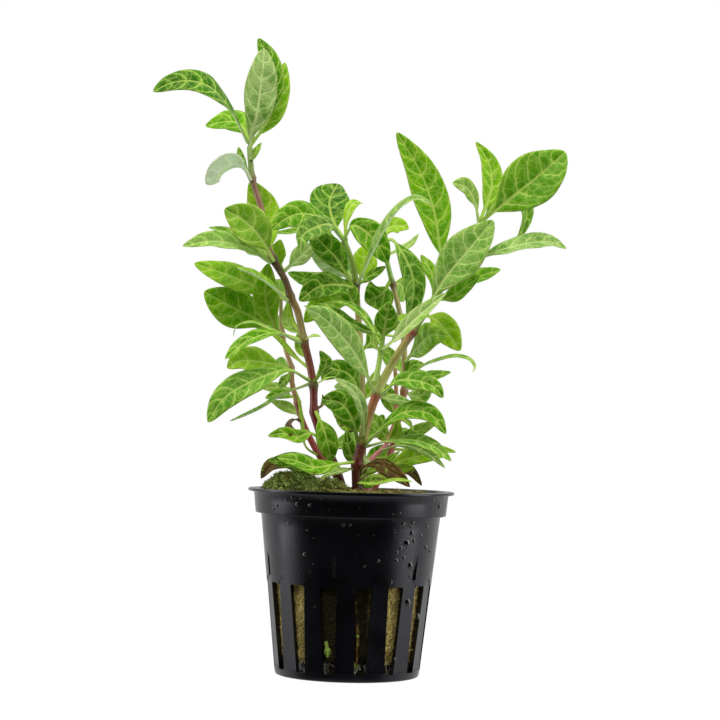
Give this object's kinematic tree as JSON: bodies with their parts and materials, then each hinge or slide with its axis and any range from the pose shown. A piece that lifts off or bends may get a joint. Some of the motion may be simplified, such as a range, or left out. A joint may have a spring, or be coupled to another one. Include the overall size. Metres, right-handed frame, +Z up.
{
  "type": "potted hygrophila",
  "caption": "Bushy aquarium stem plant with veined lance-shaped leaves, rooted in rock wool in a slotted black net pot.",
  "frame": {"origin": "centre of the pot's flat underside, on the surface it stands on", "axes": "+Z up, -Y towards the viewer of the front view, +X to the viewer's right"},
  "size_m": [0.1091, 0.0706, 0.17],
  "materials": {
    "pot_plastic": "satin",
    "rock_wool": "matte",
    "moss": "matte",
    "stem": "satin",
    "leaf": "satin"
  },
  "bodies": {
    "root": {"net_pot": "pot_plastic", "rock_wool": "rock_wool", "moss_mound": "moss", "tall_stem": "stem", "left_stem": "stem", "main_stem": "stem", "centre_stem": "stem", "right_stem": "stem", "thin_stem": "stem", "side_shoot": "stem", "tall_leaf_1": "leaf", "tall_leaf_2": "leaf", "tall_leaf_3": "leaf", "tall_leaf_4": "leaf", "tall_leaf_5": "leaf", "tall_leaf_6": "leaf", "tall_leaf_7": "leaf", "tall_leaf_8": "leaf", "tall_leaf_9": "leaf", "tall_leaf_10": "leaf", "tall_leaf_11": "leaf", "tall_leaf_12": "leaf", "tall_leaf_13": "leaf", "tall_leaf_14": "leaf", "tall_leaf_15": "leaf", "tall_leaf_16": "leaf", "tall_leaf_17": "leaf", "left_leaf_1": "leaf", "left_leaf_2": "leaf", "left_leaf_3": "leaf", "left_leaf_4": "leaf", "left_leaf_5": "leaf", "centre_leaf_1": "leaf", "centre_leaf_2": "leaf", "centre_leaf_3": "leaf", "centre_leaf_4": "leaf", "centre_leaf_5": "leaf", "centre_leaf_6": "leaf", "centre_leaf_7": "leaf", "centre_leaf_8": "leaf", "centre_leaf_9": "leaf", "right_leaf_1": "leaf", "right_leaf_2": "leaf", "right_leaf_3": "leaf", "right_leaf_4": "leaf", "right_leaf_5": "leaf", "main_leaf_1": "leaf", "main_leaf_2": "leaf", "main_leaf_3": "leaf", "main_leaf_4": "leaf", "main_leaf_5": "leaf", "main_leaf_6": "leaf", "main_leaf_7": "leaf", "main_leaf_8": "leaf", "main_leaf_9": "leaf", "main_leaf_10": "leaf", "main_leaf_11": "leaf", "main_leaf_12": "leaf", "main_leaf_13": "leaf", "main_leaf_14": "leaf"}
  },
  "joints": []
}
